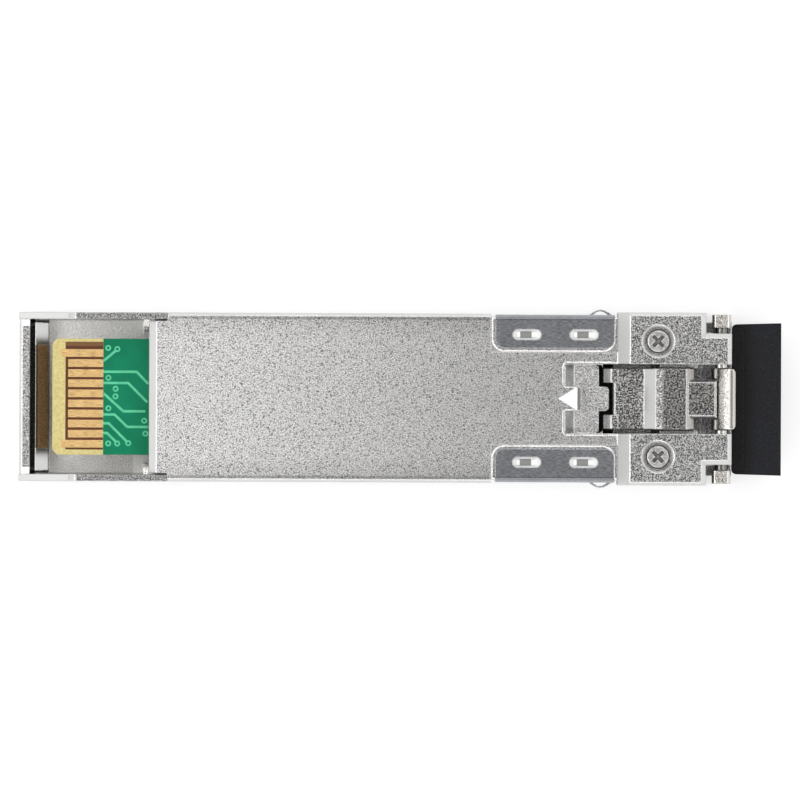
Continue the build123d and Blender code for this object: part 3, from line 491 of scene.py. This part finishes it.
# Circuit board: bare laminate at the end, brown between the contacts, then green solder mask
pad_reach = (3.68, 6.68)
gap_brown, margin_brown = (0.1, 0.03, 0.009, 1), (0.18, 0.085, 0.03, 1)
board = Finish("circuit_board", (0.05, 0.42, 0.28), 0.3)
weave = board.noise(0.25, detail=1.0)
laminate = board.mix(weave, (0.6, 0.51, 0.19, 1), (0.72, 0.62, 0.28, 1))
mask_cloud = board.noise(2.0)
green = board.mix(mask_cloud, (0.002, 0.18, 0.085, 1), (0.003, 0.215, 0.105, 1))
masked = board.region(reach=(pad_reach[1], 60))
gaps = board.region(reach=pad_reach, ys=(-4.2, 4.35))
margin = board.region(reach=pad_reach, ys=(4.02, 4.35))
ground = board.mix(gaps, laminate, gap_brown)
ground = board.mix(margin, ground, margin_brown)
faces = board.ramp(board.slope, 0.6, 0.9)
board.set(Base_Color=board.mix(faces, laminate, board.mix(masked, ground, green)))
board.set(Roughness=board.between(masked, 0.5, 0.28))
board.set(Specular_IOR_Level=0.25)
board.relief(weave, 0.002, board.soft_edge(0.03)[0])
dress(board, "circuit_board")

gold = Finish("contact_gold", (0.74, 0.49, 0.215), 0.32, metallic=1.0)
scratches = gold.noise(0.04, detail=2.0, stretch=(14, 1, 1))
gold.set(Base_Color=gold.mix(gold.noise(0.8), gold.tint(0.94), gold.tint(1.05)))
gold.set(Roughness=gold.between(scratches, 0.26, 0.4))
gold.relief(scratches, 0.0008, gold.soft_edge(0.02)[0])
dress(gold, "edge_contacts_upper", "edge_contacts_lower")

trace = Finish("mask_over_copper", (0.10, 0.58, 0.32), 0.28)
trace.set(Base_Color=trace.mix(trace.noise(0.5), trace.tint(0.9), trace.tint(1.08)))
trace.relief(trace.noise(0.2), 0.001, trace.soft_edge(0.02)[0])
dress(trace, "board_traces")


def moulding(name, colour, roughness, grain=0.12, depth=0.003, painted_fade=None, dust=None):
    """Moulded or coated non-metal with a fine even grain and a slight drift of tone.

    The fade is (reach, reach, share), a painted shade for a face that darkens to that share
    towards the first reach in mm, and dust is the colour of its specks."""
    finish = Finish(name, colour, roughness)
    finish.set(Specular_IOR_Level=0.2)
    texture = finish.noise(grain)
    cloud = finish.noise(moulded_cloud, low=0.25, high=0.75)
    tone = finish.mix(cloud, finish.tint(0.88), finish.tint(1.12))
    if dust:
        specks = finish.noise(dust_size, detail=1.0, low=0.6, high=0.68)
        tone = finish.mix(specks, tone, (*dust, 1.0))
    # A painted shade along the reach
    if painted_fade:
        dark, pale, share = painted_fade
        rising = finish.ramp(finish.start, dark * MM, pale * MM)
        tone = finish.mix(rising, finish.tint(share), tone)
    finish.set(Base_Color=tone)
    finish.set(Roughness=finish.between(texture, roughness * 0.85, min(1.0, roughness * 1.15)))
    finish.relief(texture, depth, finish.soft_edge(moulded_edge)[0])
    return finish


plug_plastic = moulding(
    "plug_plastic",
    (0.0045, 0.005, 0.0075),
    0.38,
    grain=0.2,
    depth=0.006,
    # Painted shade: the plug darkens towards the bail
    painted_fade=(57.3, 58.8, 0.02),
    dust=(0.022, 0.023, 0.03),
)
dress(plug_plastic, "dust_plug")
dress(moulding("insert_plastic", (0.015, 0.015, 0.017), 0.5), "receptacle_insert")
dress(moulding("conductive_foam", (0.12, 0.12, 0.13), 0.9, 0.1, 0.03), "optics_gasket")
dress(moulding("polyimide_film", (0.55, 0.24, 0.04), 0.35), "transmitter_flex", "receiver_flex")
chip_mould = moulding("chip_mould", (0.035, 0.035, 0.04), 0.55)
dress(chip_mould, "laser_driver", "limiting_amplifier", "controller_chip")
dress(moulding("thermal_gel", (0.42, 0.44, 0.56), 0.7, 0.3, 0.01), "thermal_pad")
dress(moulding("capacitor_ceramic", (0.36, 0.24, 0.14), 0.45), "board_capacitors")
dress(moulding("inductor_body", (0.09, 0.09, 0.10), 0.5), "board_inductors")

# The slider squeezes its return spring as it moves back. A copy with its own mesh replaces it.
coil = bpy.data.objects.new("return_spring", nodes["slider_spring"].data.copy())
bpy.context.scene.collection.objects.link(coil)
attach(coil, "root")
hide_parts("slider_spring")
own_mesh(coil)

# Floor: white to the camera and to reflections, and still in the object's shadow
floor_size = 4.0
floor_glow = 0.55
floor_level = -0.03 * MM
floor_mesh = bpy.data.meshes.new("floor")
half = floor_size / 2
corners = [(x * half, y * half, floor_level) for x, y in ((-1, -1), (1, -1), (1, 1), (-1, 1))]
floor_mesh.from_pydata(corners, [], [(0, 1, 2, 3)])
floor = bpy.data.objects.new("floor", floor_mesh)
bpy.context.scene.collection.objects.link(floor)
paper = Finish("floor_paper", (0.62, 0.62, 0.62), 0.9)
rays = paper.node("ShaderNodeLightPath").outputs
seen = paper.math("MAXIMUM", rays["Is Camera Ray"], rays["Is Glossy Ray"])
seen = paper.math("MAXIMUM", seen, rays["Is Transmission Ray"])
paper.set(Emission_Color=(1, 1, 1, 1), Emission_Strength=paper.math("MULTIPLY", seen, floor_glow))
paper.set(Specular_IOR_Level=0.0)
under = paper.node("ShaderNodeNewGeometry").outputs["Backfacing"]
paper.set(Alpha=paper.math("SUBTRACT", 1.0, under))
floor_mesh.materials.append(paper.material)

# World: white at the horizon, brightest part of the way up and dim straight overhead, where the
# camera stands. It is weaker as a source of light, because the lamps add theirs.
ring_rise, ring_blend, ring_gain = (0.6, 0.94), 0.06, 0.3
overhead_rise, overhead_share = (0.945, 0.99), 0.25
lighting_share = 0.5
world = bpy.data.worlds.new("studio")
bpy.context.scene.world = world
world.use_nodes = True
sky = Shading(world)
rise = sky.parts(sky.node("ShaderNodeTexCoord").outputs["Generated"])[2]
ring = sky.math("MULTIPLY", sky.within(rise, *ring_rise, soft=ring_blend), ring_gain)
ring = sky.math("ADD", 1.0, ring)
dome = sky.math("MULTIPLY", ring, sky.ramp(rise, *overhead_rise, 1.0, overhead_share))
lighting = sky.node("ShaderNodeLightPath").outputs["Is Diffuse Ray"]
strength = sky.math("MULTIPLY", dome, sky.between(lighting, 1.0, lighting_share))
sky.feed(sky.tree.nodes["Background"].inputs["Color"], (1, 1, 1, 1))
sky.feed(sky.tree.nodes["Background"].inputs["Strength"], strength)

# Four soft boxes round the object, of which the one beyond the electrical end is the key
light_distance = 0.9
light_size = 0.5
light_tilt = radians(32)
soft_boxes = (("key", 180, 2.0), ("far", 90, 1.2), ("near", 270, 1.2), ("front", 0, 1.0))
for light_name, azimuth, watts in soft_boxes:
    lamp = bpy.data.lights.new(light_name, "AREA")
    lamp.shape = "SQUARE"
    lamp.size = light_size
    lamp.energy = watts
    light = bpy.data.objects.new(light_name, lamp)
    light.rotation_euler = Euler((0, light_tilt, radians(azimuth)))
    light.location = light.rotation_euler.to_matrix() @ Vector((0, 0, light_distance))
    light.visible_camera = False
    bpy.context.scene.collection.objects.link(light)
